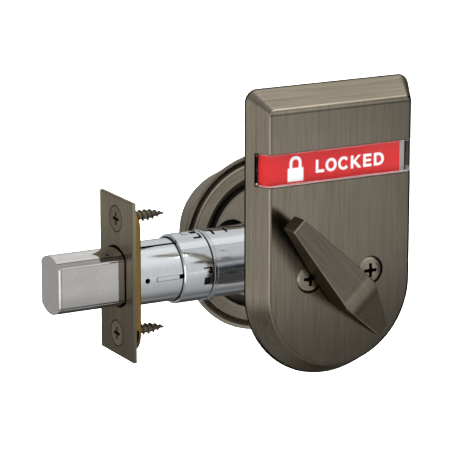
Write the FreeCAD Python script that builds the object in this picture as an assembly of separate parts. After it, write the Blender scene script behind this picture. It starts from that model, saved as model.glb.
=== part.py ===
import FreeCAD, Part
import math
import os

# Deadbolt lock, drawn in one frame, in millimetres.
# +X  from the door edge to the hinge side (the bolt points to -X)
# +Y  from the room side (thumbturn) to the outside (key cylinder)
# +Z  up
# Origin: where the axis of the bolt crosses the axis of the thumbturn spindle.
# Rest pose: locked, the bolt thrown.

V = FreeCAD.Vector
os.makedirs("parts", exist_ok=True)

# ------------------------------------------------------------ driving sizes
BACKSET = 69.85          # spindle axis to the front of the faceplate
THROW = 25.4             # travel of the bolt
TURN = math.radians(90)  # travel of the thumbturn

# room-side plate (tapered shell)
PB, PF = -25.6, -35.3    # back and front planes
OUT_HW, OUT_TOP, OUT_RC, OUT_ZC = 33.0, 67.1, 4.6, -5.15
IN_SIDE, IN_TOP, IN_BOT = 4.7, 6.0, 5.4
FR_HW, FR_TOP, FR_RC = OUT_HW - IN_SIDE, OUT_TOP - IN_TOP, 2.2
FR_ZC = OUT_ZC - OUT_HW + IN_BOT + FR_HW
WALL_F = 2.2             # front wall
WALL_S = 1.15            # side walls at the indicator
CAV_Y = PF + WALL_F      # inside of the front wall
EDGE_R = 1.3             # rounded front edge
WIN_Z0, WIN_Z1, WIN_Y = 34.0, 45.5, -29.6   # indicator window
SCREW_X = 12.2           # mounting screws, each side of the spindle
SCREW_R = 2.05
HEAD_R = 4.95
RECESS_R = 5.25

# indicator
FLAG_TRAVEL = 12.0
CRANK_R = FLAG_TRAVEL / 2 / math.sin(TURN / 2)
CRANK_PIN_R = 0.8

# faceplate and bolt
FP_T, FP_W, FP_H = 1.5, 25.4, 57.15
FP_SCREW_Z = 20.65
BP_T, BP_HY, BP_HZ, BP_RC = 2.2, 12.35, 26.2, 8.0
BOLT_R, BOLT_FLAT = 10.4, 7.1
OPEN_R, OPEN_FLAT = 10.95, 7.75
BOLT_REAR = -40.4
TUBE_R, TUBE_RI = 11.2, 10.75
COL_X0, COL_X1, COL_R = -49.2, -35.9, 12.4
HOU_R, HOU_RI, HOU_X1 = 12.4, 11.2, 21.0

# crank that drives the bolt
ARM_HW = 1.2             # half width of the crank arm
ARM_LEN = 17.6
PIN_DX, PIN_Z, PIN_R = 4.8, 11.0, 0.75
PLATE_Y0, PLATE_Y1 = 2.9, 4.0

# outside: collar and cylinder
RIM_Y, RIM_R, RIM_RI = 18.85, 33.6, 32.35    # 44.45 mm from the room-side plate
RING_R, RING_RI = 30.1, 25.3
DISC_R, DISC_Y = 21.45, 19.0
CYL_R, CYL_Y = 17.2, 46.9
PLUG_R = 6.35


# ------------------------------------------------------------ helpers
def cyl(axis, r, a, b, p=0.0, q=0.0):
    """Cylinder along an axis from a to b; p and q are its other two coordinates."""
    if axis == "X":
        return Part.makeCylinder(r, b - a, V(a, p, q), V(1, 0, 0))
    if axis == "Y":
        return Part.makeCylinder(r, b - a, V(p, a, q), V(0, 1, 0))
    return Part.makeCylinder(r, b - a, V(p, q, a), V(0, 0, 1))


def cone(axis, r0, r1, a, b, p=0.0, q=0.0):
    if axis == "X":
        return Part.makeCone(r0, r1, b - a, V(a, p, q), V(1, 0, 0))
    if axis == "Y":
        return Part.makeCone(r0, r1, b - a, V(p, a, q), V(0, 1, 0))
    return Part.makeCone(r0, r1, b - a, V(p, q, a), V(0, 0, 1))


def box(x0, x1, y0, y1, z0, z1):
    return Part.makeBox(x1 - x0, y1 - y0, z1 - z0, V(x0, y0, z0))


def fuse(first, *rest):
    s = first
    for r in rest:
        s = s.fuse(r)
    return s.removeSplitter()


def cut(first, *rest):
    s = first
    for r in rest:
        s = s.cut(r)
    return s


def group(shapes):
    """One compound of separate solids, for identical pieces in one node."""
    out = []
    for s in shapes:
        out += s.Solids
    return Part.makeCompound(out)


def rev(axis, pts):
    """Solid of revolution from (radius, along) points about an axis through the origin."""
    if axis == "Y":
        vs = [V(r, a, 0) for r, a in pts]
        d = V(0, 1, 0)
    else:
        vs = [V(a, r, 0) for r, a in pts]
        d = V(1, 0, 0)
    w = Part.makePolygon(vs + [vs[0]])
    s = Part.Face(w).revolve(V(0, 0, 0), d, 360)
    if s.Volume < 0:
        s.reverse()
    return s


def moved(s, x, y, z):
    c = s.copy()
    c.translate(V(x, y, z))
    return c


def turned(s, deg, axis=(0, 1, 0), at=(0, 0, 0)):
    c = s.copy()
    c.rotate(V(*at), V(*axis), deg)
    return c


def prism(pts, vec):
    """Closed polygon of 3-D points pushed along a vector."""
    vs = [V(*p) for p in pts]
    f = Part.Face(Part.makePolygon(vs + [vs[0]]))
    s = f.extrude(V(*vec))
    return s


def solid_of(s):
    big = sorted(s.Solids, key=lambda k: k.Volume)[-1]
    return big


written = []


def save(name, shape):
    sol = shape.Solids
    vol = sum(k.Volume for k in sol)
    ok = all(k.isValid() for k in sol)
    shape.exportStep("parts/%s.step" % name)
    written.append(name)
    print("%-24s solids %2d  volume %9.1f  valid %s" % (name, len(sol), vol, ok))


def outline(hw, top, rc, zc, y):
    """Round-bottomed plate outline: straight sides, rounded top corners, half-circle foot."""
    k = rc * math.sqrt(0.5)
    e = [
        Part.LineSegment(V(hw, y, zc), V(hw, y, top - rc)).toShape(),
        Part.Arc(V(hw, y, top - rc), V(hw - rc + k, y, top - rc + k), V(hw - rc, y, top)).toShape(),
        Part.LineSegment(V(hw - rc, y, top), V(-hw + rc, y, top)).toShape(),
        Part.Arc(V(-hw + rc, y, top), V(-hw + rc - k, y, top - rc + k), V(-hw, y, top - rc)).toShape(),
        Part.LineSegment(V(-hw, y, top - rc), V(-hw, y, zc)).toShape(),
        Part.Arc(V(-hw, y, zc), V(0, y, zc - hw), V(hw, y, zc)).toShape(),
    ]
    return Part.Wire(e)


def taper(inset, y_front):
    """The plate's tapered body, drawn in by inset, with a rounded front edge."""
    t = (PB - y_front) / (PB - PF)
    b = outline(OUT_HW - inset, OUT_TOP - inset, max(OUT_RC - inset, 1.0), OUT_ZC, PB)
    f = outline(OUT_HW - inset - IN_SIDE * t, OUT_TOP - inset - IN_TOP * t,
                max(OUT_RC - inset + (FR_RC - OUT_RC) * t, 0.9),
                OUT_ZC + (FR_ZC - OUT_ZC) * t, y_front)
    return Part.makeLoft([b, f], True, True)


def round_front(s, y_front, radius):
    front = [e for e in s.Edges if all(abs(v.Point.y - y_front) < 1e-4 for v in e.Vertexes)
             and abs(e.CenterOfMass.y - y_front) < 1e-3]
    for r in (radius, radius * 0.9, radius * 0.75, radius * 0.5):
        try:
            t = s.makeFillet(r, front)
            if t.isValid() and t.Volume > 0:
                return t
        except Exception:
            pass
    print("front edge left sharp")
    return s


def phillips(axis, at, depth, reach, p, q, width=1.15):
    """Cross recess cut from a screw head whose top is at 'at', going in by depth along the axis."""
    w = width / 2
    if axis == "Y":
        a = box(p - reach, p + reach, at - 1.0, at + depth * 0.75, q - w, q + w)
        b = box(p - w, p + w, at - 1.0, at + depth * 0.75, q - reach, q + reach)
        c = cone("Y", w * 1.9, 0.25, at - 0.2, at + depth, p, q)
    else:
        a = box(at - 1.0, at + depth * 0.75, p - reach, p + reach, q - w, q + w)
        b = box(at - 1.0, at + depth * 0.75, p - w, p + w, q - reach, q + reach)
        c = cone("X", w * 1.9, 0.25, at - 0.2, at + depth, p, q)
    return a.fuse(b).fuse(c)


# ============================================================ room side
# ------------------------------------------------------------ plate shell
body = round_front(taper(0.0, PF), PF, EDGE_R)
cavity = taper(2.2, CAV_Y)
cavity = cavity.fuse(moved(cavity.common(box(-40, 40, PB - 0.6, PB + 1, -45, 80)), 0, 0.5, 0))
# the side walls are thinner where the indicator runs
cavity = cavity.fuse(taper(WALL_S, CAV_Y).common(box(-40, 40, CAV_Y - 1, -27.4, 17.5, 60.0)))
slab = box(-45, 45, PF - 5, WIN_Y, WIN_Z0, WIN_Z1)
slab = slab.makeFillet(1.4, [e for e in slab.Edges if abs(e.CenterOfMass.y - WIN_Y) < 1e-3
                             and abs(e.CenterOfMass.x) < 1e-3])
shell = cut(body, cavity, slab)
BOSS_Y = -30.6
posts = []
for sx in (-1, 1):
    posts.append(cyl("Y", 6.7, CAV_Y - 0.4, BOSS_Y, sx * SCREW_X, 0))
posts.append(cyl("Y", 7.2, CAV_Y - 0.4, -32.6, 0, 0))
FIX = [(24.0, 12.0), (-24.0, 12.0), (17.5, -23.0), (-17.5, -23.0)]
for x, z in FIX:
    posts.append(cyl("Y", 2.8, CAV_Y - 0.4, -27.3, x, z))
shell = fuse(shell, *posts)
holes = [cyl("Y", 4.95, PF - 1, -32.0, 0, 0), cyl("Y", 6.3, -32.6, -29.0, 0, 0)]
for sx in (-1, 1):
    holes.append(cyl("Y", RECESS_R, PF - 1, -34.3, sx * SCREW_X, 0))
    holes.append(cone("Y", 5.05, 2.4, -34.3, -31.75, sx * SCREW_X, 0))
    holes.append(cyl("Y", 2.4, -34.0, BOSS_Y + 1, sx * SCREW_X, 0))
for x, z in FIX:
    holes.append(cyl("Y", 1.05, -31.6, -26.5, x, z))
shell = solid_of(cut(shell, *holes))
save("interior_plate", shell)

# ------------------------------------------------------------ window lens
lens_body = round_front(taper(0.12, PF + 0.12), PF + 0.12, EDGE_R)
lslab = box(-45, 45, PF - 5, WIN_Y - 0.45, WIN_Z0 + 0.12, WIN_Z1 - 0.12)
lslab = lslab.makeFillet(1.2, [e for e in lslab.Edges if abs(e.CenterOfMass.y - WIN_Y + 0.45) < 1e-3
                                and abs(e.CenterOfMass.x) < 1e-3])
lens = solid_of(lens_body.common(lslab).cut(cavity))
save("indicator_lens", lens)

# ------------------------------------------------------------ steel plate behind the shell
MP_Y0, MP_Y1 = -27.3, -25.8
mp_w = outline(29.6, 63.0, 2.6, OUT_ZC, MP_Y0)
mplate = Part.Face(mp_w).extrude(V(0, MP_Y1 - MP_Y0, 0))
mh = [cyl("Y", 3.66, MP_Y0 - 1, MP_Y1 + 1, 0, 0)]
for sx in (-1, 1):
    mh.append(cyl("Y", 2.3, MP_Y0 - 1, MP_Y1 + 1, sx * SCREW_X, 0))
    mh.append(cyl("Y", 1.3, MP_Y0 - 1, MP_Y1 + 1, sx * 20.0, 27.0))
    mh.append(cyl("Y", 1.3, MP_Y0 - 1, MP_Y1 + 1, sx * 20.0, 57.0))
for x, z in FIX:
    mh.append(cyl("Y", 1.45, MP_Y0 - 1, MP_Y1 + 1, x, z))
    mh.append(cyl("Y", 2.36, -26.24, MP_Y1 + 1, x, z))
    mh.append(cone("Y", 1.45, 2.36, -26.6, -26.24, x, z))
mplate = solid_of(cut(mplate, *mh))
save("mounting_plate", mplate)

fixers = []
for x, z in FIX:
    s = rev("Y", [(0, 0), (2.3, 0), (2.3, -0.55), (1.35, -0.85), (1.0, -0.9), (1.0, -4.6), (0.3, -5.2), (0, -5.2)])
    s = moved(s, x, -25.05, z)
    s = cut(s, box(x - 1.2, x + 1.2, -25.4, -24.0, z - 0.22, z + 0.22),
            box(x - 0.22, x + 0.22, -25.4, -24.0, z - 1.2, z + 1.2))
    # the head sits in the plate's countersink and stays behind the shell's rim
    fixers.append(moved(s, 0, -0.62, 0))
save("plate_fixing_screws", group([solid_of(f) for f in fixers]))

# ------------------------------------------------------------ indicator guides
rails = []
for sx in (-1, 1):
    x = sx * 20.0
    r = fuse(box(x - 0.9, x + 0.9, -31.25, MP_Y0, 18.0, 59.5),
             cyl("Y", 1.25, MP_Y0 - 0.3, MP_Y1, x, 27.0),
             cyl("Y", 1.25, MP_Y0 - 0.3, MP_Y1, x, 57.0))
    rails.append(solid_of(r))
save("flag_guides", group(rails))

# ------------------------------------------------------------ indicator carrier and its two labels
FLAG_Z = 33.0                     # foot of the carrier panel at rest
LAB_Z0 = 33.8                     # foot of the lower label at rest
LAB_H = 11.9
LAB_STEP = FLAG_TRAVEL


def u_section(off, y_end, t):
    """Half-closed channel that follows the inside of the window: off from the wall, t thick."""
    y0 = CAV_Y + off
    hw0 = 28.05 - off * 1.1
    k = (OUT_HW - 2.2 - (OUT_HW - 2.2 - IN_SIDE * (PB - CAV_Y) / (PB - PF))) / (PB - CAV_Y)
    x1 = hw0 + k * (y_end - y0)
    ti = t * 1.11
    return [(-hw0, y0), (hw0, y0), (x1, y_end), (x1 - ti, y_end), (hw0 - t * 0.62, y0 + t),
            (-hw0 + t * 0.62, y0 + t), (-x1 + ti, y_end), (-x1, y_end)]


def channel(off, y_end, t, z0, z1):
    pts = [(x, y, z0) for x, y in u_section(off, y_end, t)]
    return prism(pts, (0, 0, z1 - z0))


LAB_X1 = 25.2                     # right end of the labels
LAB_YE = -27.5                    # how far they reach back round the left slope


def label(z0):
    pts = u_section(0.25, LAB_YE, 0.4)
    keep = [(LAB_X1, pts[0][1]), (LAB_X1, pts[5][1])] + pts[5:] + [pts[0]]
    return solid_of(prism([(x, y, z0) for x, y in keep], (0, 0, LAB_H)))


lab_lo = label(LAB_Z0)
lab_hi = label(LAB_Z0 + LAB_STEP)
save("locked_label", lab_lo)
save("unlocked_label", lab_hi)

carrier = channel(0.65, -29.2, 0.9, FLAG_Z, 58.0)
# leg from the panel down to the fork
FORK_Z = FLAG_TRAVEL / 2
LEG_Y0, LEG_Y1 = -28.95, -27.85
leg = box(4.1, 9.7, LEG_Y0, LEG_Y1, FORK_Z - 2.7, FLAG_Z + 4.0)
web = box(4.1, 9.7, CAV_Y + 0.65 + 0.9 - 0.2, LEG_Y1, FLAG_Z + 1.0, FLAG_Z + 4.0)
carrier = fuse(carrier, leg, web)
carrier = cut(carrier, box(5.0, 12.0, LEG_Y0 - 1, LEG_Y1 + 1, FORK_Z - 1.2, FORK_Z + 1.2))
save("flag_carrier", solid_of(carrier))

# ------------------------------------------------------------ thumbturn
BL_ANG = math.radians(-47.7)      # direction from the narrow end to the tip
BL_OFF = 2.3                      # blade centreline to spindle axis
bu = (math.cos(BL_ANG), math.sin(BL_ANG))
bn = (bu[1], -bu[0])


def blade_pt(s, w, y):
    return (s * bu[0] + (w + BL_OFF) * bn[0], y, s * bu[1] + (w + BL_OFF) * bn[1])


S_END, W_END, Y_END, Y_ENDB = -33.3, 2.95, -48.2, -41.2
S_BF, S_BC, W_B, Y_B = 3.9, 5.3, 7.2, -48.0
S_TIP, W_TIP, Y_TIP = 27.5, 2.75, -36.7
GAP_Y = PF - 0.42
plan = [blade_pt(S_END, W_END, -60), blade_pt(S_BF, W_B, -60), blade_pt(S_TIP + 0.2, W_TIP, -60),
        blade_pt(S_TIP, -W_TIP, -60), blade_pt(S_BC, -W_B + 0.15, -60), blade_pt(S_END, -W_END, -60)]
blade_plan = prism(plan, (0, 40, 0))
# side profile with a soft fold at the bend
W0 = -20.0
pA = V(*blade_pt(S_END - 0.5, W0, Y_END))
pB = V(*blade_pt(-2.0, W0, -48.25))
pC = V(*blade_pt(10.6, W0, -44.95))
pT = V(*blade_pt(S_TIP + 1.5, W0, Y_TIP + 0.55))
pU = V(*blade_pt(S_TIP + 1.5, W0, GAP_Y))
pG = V(*blade_pt(-7.5, W0, GAP_Y))
pM = V(*blade_pt(-13.0, W0, GAP_Y - 0.85))
pE = V(*blade_pt(S_END - 0.5, W0, Y_ENDB))
bz = Part.BezierCurve()
bz.setPoles([pB, V(*blade_pt(5.0, W0, -48.5)), pC])
bz2 = Part.BezierCurve()
bz2.setPoles([pG, pM, V(*blade_pt(-19.5, W0, -38.15))])
pN = V(*blade_pt(-19.5, W0, -38.15))
side = Part.Wire([
    Part.LineSegment(pA, pB).toShape(), bz.toShape(), Part.LineSegment(pC, pT).toShape(),
    Part.LineSegment(pT, pU).toShape(), Part.LineSegment(pU, pG).toShape(), bz2.toShape(),
    Part.LineSegment(pN, pE).toShape(), Part.LineSegment(pE, pA).toShape()])
blade_side = Part.Face(side).extrude(V(40 * bn[0], 0, 40 * bn[1]))
blade = solid_of(blade_plan.common(blade_side))


def soften(s, sizes, pick):
    es = [e for e in s.Edges if pick(e)]
    for r in sizes:
        try:
            t = s.makeFillet(r, es)
            if t.isValid() and t.Volume > 0:
                return t
        except Exception:
            pass
    print("edges left sharp:", len(es))
    return s


blade = soften(blade, (0.55, 0.45, 0.3, 0.2), lambda e: e.CenterOfMass.y < GAP_Y - 0.3)
neck = fuse(cyl("Y", 5.6, GAP_Y - 3.0, GAP_Y, 0, 0), cyl("Y", 4.9, GAP_Y, -31.3, 0, 0))
# the blade's foot reaches over the neck
thumb = fuse(blade, neck)
thumb = cut(thumb, cyl("Y", 3.6, -38.2, -31.0, 0, 0),
            cut(cyl("Y", 5.5, -32.55, -31.85, 0, 0), cyl("Y", 4.3, -32.55, -31.85, 0, 0)))
save("thumbturn", solid_of(thumb))

# ------------------------------------------------------------ spindle, washer, clip, indicator crank
slot_t = box(-0.82, 0.82, -32.0, 30.0, -3.02, 3.02)
slot_t = turned(slot_t, 45)
spindle = cut(cyl("Y", 3.58, -38.1, -24.4, 0, 0), slot_t)
save("turn_spindle", solid_of(spindle))

washer = cut(cyl("Y", 6.1, -32.6, -32.5, 0, 0), cyl("Y", 5.0, -33, -32, 0, 0))
save("spring_washer", washer)

clip = cut(cyl("Y", 5.9, -32.45, -31.9, 0, 0), cyl("Y", 4.32, -33, -31, 0, 0),
           box(-2.6, 2.6, -33, -31, -8, 0))
save("retaining_clip", solid_of(clip))

a45 = math.radians(45)
cpx, cpz = CRANK_R * math.cos(a45), CRANK_R * math.sin(a45)
crank = fuse(cut(cyl("Y", 6.2, -30.3, -29.3, 0, 0), cyl("Y", 3.6, -31, -28, 0, 0)),
             cut(cyl("Y", 4.8, -31.2, -30.3, 0, 0), cyl("Y", 3.6, -32, -28, 0, 0)))
armc = prism([(3.9 * math.cos(a45) + 1.5 * math.sin(a45), -30.3, 3.9 * math.sin(a45) - 1.5 * math.cos(a45)),
              (cpx + 1.1 * math.sin(a45), -30.3, cpz - 1.1 * math.cos(a45)),
              (cpx - 1.1 * math.sin(a45), -30.3, cpz + 1.1 * math.cos(a45)),
              (3.9 * math.cos(a45) - 1.5 * math.sin(a45), -30.3, 3.9 * math.sin(a45) + 1.5 * math.cos(a45))],
             (0, 1.0, 0))
crank = fuse(crank, armc, cyl("Y", 1.1, -30.3, -29.3, cpx, cpz))
crank = cut(crank, cyl("Y", 0.52, -31, -28, cpx, cpz))
save("indicator_crank", solid_of(crank))
cpin = fuse(cyl("Y", 0.5, -30.3, -29.28, cpx, cpz), cyl("Y", CRANK_PIN_R, -29.28, -27.6, cpx, cpz))
save("crank_pin", cpin)

# ------------------------------------------------------------ mounting screws
mscrews = []
for sx in (-1, 1):
    prof_s = [(0, -35.75), (1.6, -35.68), (3.0, -35.48), (4.2, -35.12), (HEAD_R, -34.62), (HEAD_R, -34.42),
              (SCREW_R + 0.05, -31.8), (SCREW_R, -31.6), (SCREW_R, 6.0), (1.75, 6.3)]
    y = 6.3
    while y < 28.0:
        prof_s += [(1.75, y + 0.15), (SCREW_R, y + 0.38), (SCREW_R, y + 0.48), (1.75, y + 0.71)]
        y += 0.8
    prof_s += [(1.75, y), (1.3, y + 0.8), (0, y + 0.8)]
    s = moved(rev("Y", prof_s), sx * SCREW_X, 0, 0)
    s = cut(s, phillips("Y", -35.7, 2.6, 2.6, sx * SCREW_X, 0, 1.25))
    mscrews.append(solid_of(s))
save("mounting_screws", group(mscrews))

# ============================================================ door edge
FX0 = -BACKSET
FX1 = FX0 + FP_T
face = box(FX0, FX1, -FP_W / 2, FP_W / 2, -FP_H / 2, FP_H / 2)
face = face.makeFillet(0.35, [e for e in face.Edges if abs(e.CenterOfMass.x - FX0) < 1e-3])
opening = cyl("X", OPEN_R, FX0 - 1, FX1 + 1).common(box(FX0 - 1, FX1 + 1, -OPEN_FLAT, OPEN_FLAT, -20, 20))
fh = [opening]
for sz in (-1, 1):
    fh.append(cone("X", 4.62, 3.12, FX0, FX0 + 1.5, 0, sz * FP_SCREW_Z))
face = solid_of(cut(face, *fh))
save("faceplate", face)

BX0, BX1 = FX1, FX1 + BP_T
back = box(BX0, BX1, -BP_HY, BP_HY, -BP_HZ, BP_HZ)
back = back.makeFillet(BP_RC, [e for e in back.Edges if abs(abs(e.CenterOfMass.y) - BP_HY) < 1e-3
                               and abs(abs(e.CenterOfMass.z) - BP_HZ) < 1e-3])
back = back.makeFillet(0.7, [e for e in back.Edges if abs(e.CenterOfMass.x - BX1) < 1e-3])
bh = [cyl("X", TUBE_R + 0.02, BX0 - 1, BX1 + 1)]
for sz in (-1, 1):
    bh.append(cone("X", 3.12, 2.6, BX0, BX0 + 0.5, 0, sz * FP_SCREW_Z))
    bh.append(cyl("X", 2.6, BX0 - 1, BX1 + 1, 0, sz * FP_SCREW_Z))
# small scoop at the foot of the near edge
bh.append(cyl("Z", 1.6, -21.5, -17.0, BX0 - 0.4, -BP_HY - 0.3))
back = solid_of(cut(back, *bh))
save("bolt_backing_plate", back)

wood = []
for sz in (-1, 1):
    tip_x = FX0 + 19.05
    p = [(0, FX0 + 0.02), (4.5, FX0 + 0.02), (3.0, FX0 + 1.52), (2.35, FX0 + 2.1), (1.7, FX0 + 2.6)]
    x = FX0 + 2.7
    end_taper = tip_x - 4.6
    while x + 1.6 < tip_x - 0.6:
        k = 1.0 if x < end_taper else max(0.18, (tip_x - x - 0.5) / 4.6)
        k2 = 1.0 if x + 0.8 < end_taper else max(0.18, (tip_x - x - 1.3) / 4.6)
        p += [(1.5 * k, x + 0.15), (2.12 * k, x + 0.72), (2.12 * k2, x + 0.84), (1.5 * k2, x + 1.45)]
        x += 1.6
    p += [(0.0, tip_x)]
    s = moved(rev("X", p), 0, 0, sz * FP_SCREW_Z)
    s = cut(s, phillips("X", FX0 + 0.02, 1.9, 2.3, 0, sz * FP_SCREW_Z, 1.05))
    wood.append(solid_of(s))
save("faceplate_screws", group(wood))

# ------------------------------------------------------------ front tube
TUBE_X1 = -42.0
tube = cut(cyl("X", TUBE_R, BX0 + 0.02, TUBE_X1), cyl("X", TUBE_RI, BX0 - 1, TUBE_X1 + 1))
sl = turned(box(BX0 + 2.4, TUBE_X1 + 1, -0.45, 0.45, 8, 14), 22.5, (1, 0, 0))
tube = cut(tube, sl, cyl("Y", 0.95, -14, -8, -63.2, 0),
           box(-59.7, -49.0, -14, -8, -0.82, 0.82))
save("bolt_tube", solid_of(tube))

# sliding key that sets the backset, seen in the tube's slot
key = cut(cyl("X", TUBE_R - 0.02, -59.4, -50.8), cyl("X", TUBE_RI + 0.02, -60, -50)).common(
    box(-59.4, -50.8, -14, -8, -0.7, 0.7))
save("backset_key", solid_of(key))

# ------------------------------------------------------------ collar between tube and housing
col = rev("X", [(TUBE_R + 0.02, COL_X0 + 0.9), (TUBE_R + 0.42, COL_X0 + 0.8), (TUBE_R + 0.42, COL_X0),
                (COL_R - 0.35, COL_X0), (COL_R, COL_X0 + 0.4), (COL_R, -37.95),
                (COL_R - 0.42, -37.85), (COL_R - 0.42, -37.5), (COL_R + 0.12, -37.4), (COL_R + 0.2, -37.25),
                (COL_R + 0.2, -36.95), (COL_R - 0.05, -36.8), (COL_R - 0.05, -36.6), (COL_R + 0.2, -36.45),
                (COL_R + 0.2, -36.15), (COL_R - 0.3, -36.05), (COL_R - 0.3, COL_X1), (TUBE_R + 0.02, COL_X1)])
cc = []


def arc_slot(x0, x1, a0, a1, r0=10.9, r1=14.0):
    """Slot through a tube wall; angles in degrees from the top towards the near side."""
    s = cut(cyl("X", r1, x0, x1), cyl("X", r0, x0 - 1, x1 + 1))
    big = 30.0
    pts = [(x0, 0, 0)]
    n = 8
    for i in range(n + 1):
        a = math.radians(a0 + (a1 - a0) * i / n)
        pts.append((x0, -big * math.sin(a), big * math.cos(a)))
    w = prism(pts, (x1 - x0, 0, 0))
    return s.common(w)


# bayonet cut-outs on top: a long bar, a thin cross line, a square notch and a short bar
cc.append(arc_slot(-45.0, -41.0, -11.0, -6.5))
cc.append(arc_slot(-44.9, -44.5, -7.0, 10.0))
cc.append(arc_slot(-41.6, -39.0, -2.0, 9.0))
cc.append(arc_slot(-44.9, -42.6, 8.6, 10.4))
cc.append(arc_slot(-41.9, -38.6, 20.5, 25.0))
cc.append(arc_slot(-39.4, -38.6, 9.0, 22.0))
# the small window on the near side and the pocket under it
cc.append(arc_slot(-39.3, -38.4, 79.0, 90.5))
cc.append(arc_slot(-41.7, -39.3, 79.0, 81.4))
cc.append(arc_slot(-40.0, -38.9, 85.5, 88.5))
cc.append(arc_slot(-41.4, -39.0, 96.0, 109.0, 11.7))
col = cut(col, *cc)
save("backset_collar", solid_of(col))

# ------------------------------------------------------------ rear housing
hou = cut(cyl("X", HOU_R, COL_X1, HOU_X1), cyl("X", HOU_RI, COL_X1 - 1, HOU_X1 + 1))
hc = [box(-19.4, 19.4, -4.5, 4.5, 0, 14)]                       # top slot for the crank
for sx in (-1, 1):
    hc.append(cyl("Y", 2.6, -14, 14, sx * SCREW_X, 0))          # mounting screws pass through
hc.append(cyl("Y", 5.86, -14, 14, 0, 0))                        # seats of the hub bushes
hc.append(arc_slot(-33.9, -32.9, -6.0, 20.0))
hc.append(arc_slot(-28.5, -27.5, -6.0, 18.0))
# lower third drawn in a little, with an edge line along each side
lowring = cut(cyl("X", 13.5, COL_X1 - 1, HOU_X1 + 1), cyl("X", HOU_R - 0.28, COL_X1 - 2, HOU_X1 + 2))
ang = math.radians(29.0)
lowcut = lowring.common(prism([(COL_X1 - 1, 0, 0), (COL_X1 - 1, -30 * math.cos(ang), -30 * math.sin(ang)),
                               (COL_X1 - 1, 0, -60), (COL_X1 - 1, 30 * math.cos(ang), -30 * math.sin(ang))],
                              (HOU_X1 - COL_X1 + 2, 0, 0)))
hc.append(lowcut)
hou = solid_of(cut(hou, *hc))
# small tab at the collar joint, under the housing
save("rear_housing", hou)

tab = cut(cyl("X", 13.0, -38.6, -33.2), cyl("X", HOU_R + 0.27, -39, -33)).common(
    box(-38.6, -33.2, -5.2, -1.6, -14, -8))
save("housing_tab", solid_of(tab))

cap = cut(cyl("X", HOU_RI - 0.02, 20.1, HOU_X1), cyl("X", 6.0, 19, 22))
save("housing_end_cap", solid_of(cap))

bushes = []
for sy in (-1, 1):
    y0, y1 = (6.0, 11.95) if sy > 0 else (-11.95, -6.0)
    f0, f1 = (5.0, 6.0) if sy > 0 else (-6.0, -5.0)
    b = fuse(cyl("Y", 5.84, y0, y1, 0, 0), cyl("Y", 7.0, f0, f1, 0, 0))
    b = cut(b, cyl("Y", 4.05, -14, 14, 0, 0))
    bushes.append(solid_of(b))
save("hub_bushes", group(bushes))

# ------------------------------------------------------------ crank hub and tailpiece
hub = fuse(cyl("Y", 5.6, -2.5, 2.5, 0, 0), cyl("Y", 4.0, -12.4, 12.4, 0, 0))
arm = fuse(box(-ARM_HW, ARM_HW, -2.4, 2.4, 0, ARM_LEN), cyl("Y", ARM_HW, -2.4, 2.4, 0, ARM_LEN))
arm = turned(arm, -45)           # at rest the arm leans towards the door edge
hub = fuse(hub, arm)
hub = cut(hub, turned(box(-0.84, 0.84, -13, 13, -3.04, 3.04), 45))
save("crank_hub", solid_of(hub))

tail = turned(box(-0.8, 0.8, -31.0, 26.4, -3.0, 3.0), 45)
tail = cut(tail, turned(cut(box(-2, 2, 25.4, 27, -4, 4), cyl("Y", 2.6, 25, 28, 0, 0)), 45))
save("tailpiece", solid_of(tail))

# ------------------------------------------------------------ bolt
TIPX = FX0 - THROW
bar = cyl("X", BOLT_R, TIPX, BOLT_REAR).common(box(TIPX - 1, BOLT_REAR + 1, -BOLT_FLAT, BOLT_FLAT, -12, 12))
long_edges = [e for e in bar.Edges if abs(abs(e.CenterOfMass.y) - BOLT_FLAT) < 1e-3
              and abs(e.CenterOfMass.z) > 5 and abs(e.CenterOfMass.x - (TIPX + BOLT_REAR) / 2) < 1e-3]
bar = bar.makeFillet(0.4, long_edges)
tip_edges = [e for e in bar.Edges if abs(e.CenterOfMass.x - TIPX) < 1e-3
             and all(abs(v.Point.x - TIPX) < 1e-4 for v in e.Vertexes)]
for r in (1.1, 0.9, 0.7):
    try:
        b2 = bar.makeChamfer(r, tip_edges)
        if b2.isValid() and b2.Volume > 0:
            bar = b2
            break
    except Exception:
        pass
bc = [cyl("Y", 2.03, -5.6, 5.6, -84.5, 0)]
for sy in (-1, 1):
    y0, y1 = (PLATE_Y0 - 0.03, PLATE_Y1 + 0.03) if sy > 0 else (-PLATE_Y1 - 0.03, -PLATE_Y0 + 0.03)
    bc.append(box(-50.03, BOLT_REAR + 1, y0, y1, -6.03, 6.03))
for x in (-47.4, -43.4):
    bc.append(cyl("Y", 1.02, -BOLT_FLAT - 1, BOLT_FLAT + 1, x, 3.2))
bar = solid_of(cut(bar, *bc))
save("deadbolt_bar", bar)
save("bolt_roller_pin", cyl("Y", 2.0, -5.5, 5.5, -84.5, 0))

XC = -THROW / 2                  # the carrier's fork centre at rest
plates = []
for sy in (-1, 1):
    y0, y1 = (PLATE_Y0, PLATE_Y1) if sy > 0 else (-PLATE_Y1, -PLATE_Y0)
    p = fuse(box(-50.0, BOLT_REAR, y0, y1, -6.0, 6.0), box(BOLT_REAR, -5.5, y0, y1, -8.0, 8.0),
             box(XC - 6.2, XC + 6.2, y0, y1, 7.0, 11.95))
    p = cut(p, box(-40.0, 0, y0 - 1, y1 + 1, -4.3, 4.3))
    for sx in (-1, 1):
        p = cut(p, cyl("Y", PIN_R + 0.01, -6, 6, XC + sx * PIN_DX, PIN_Z))
    for x in (-47.4, -43.4):
        p = cut(p, cyl("Y", 1.02, -6, 6, x, 3.2))
    plates.append(solid_of(p))
save("bolt_carrier", group(plates))
save("carrier_pins", group([cyl("Y", PIN_R, -4.3, 4.3, XC + sx * PIN_DX, PIN_Z) for sx in (-1, 1)]))
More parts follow.
